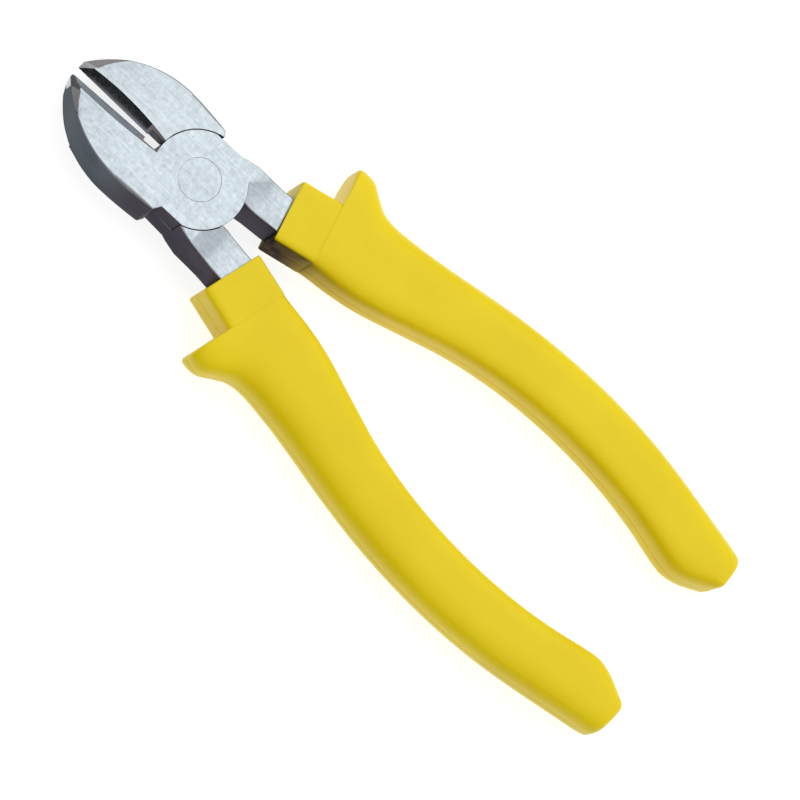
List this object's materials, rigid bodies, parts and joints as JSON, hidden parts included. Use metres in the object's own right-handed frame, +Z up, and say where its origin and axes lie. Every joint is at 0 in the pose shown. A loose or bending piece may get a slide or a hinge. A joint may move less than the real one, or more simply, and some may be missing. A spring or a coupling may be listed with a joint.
{
  "type": "tile nippers",
  "caption": "Diagonal-pattern hand nippers: two crossing steel levers on a flush riveted lap joint, with hard cutting edges and guarded yellow grips.",
  "frame": {"origin": "on the pivot axis, on the flush underside of the joint, which is also the bench that the tool lies on", "axes": "+Y from the pivot towards the jaw tips, +X towards the right jaw, +Z up through the joint along the pivot axis"},
  "size_m": [0.0652, 0.1798, 0.013],
  "materials": {
    "forged_steel": "ground and polished forged steel, satin on the flats",
    "rivet_steel": "ground flush with the joint",
    "cutting_insert": "dark hard metal, ground on both bevels",
    "grip_core": "stiff moulded inner sleeve",
    "grip_cover": "glossy soft vinyl, smooth"
  },
  "bodies": {
    "rear_lever_side": {"rear_lever": "forged_steel", "pivot_rivet": "rivet_steel", "right_jaw_insert": "cutting_insert", "left_grip_core": "grip_core", "left_grip_cover": "grip_cover"},
    "front_lever_side": {"front_lever": "forged_steel", "left_jaw_insert": "cutting_insert", "right_grip_core": "grip_core", "right_grip_cover": "grip_cover"}
  },
  "joints": [
    {"name": "lever_pivot", "type": "hinge", "parent": "rear_lever_side", "child": "front_lever_side", "pos_m": [0, 0, 0.0065], "axis": [0, 0, 1], "range_deg": [-2.8, 29.5]}
  ]
}
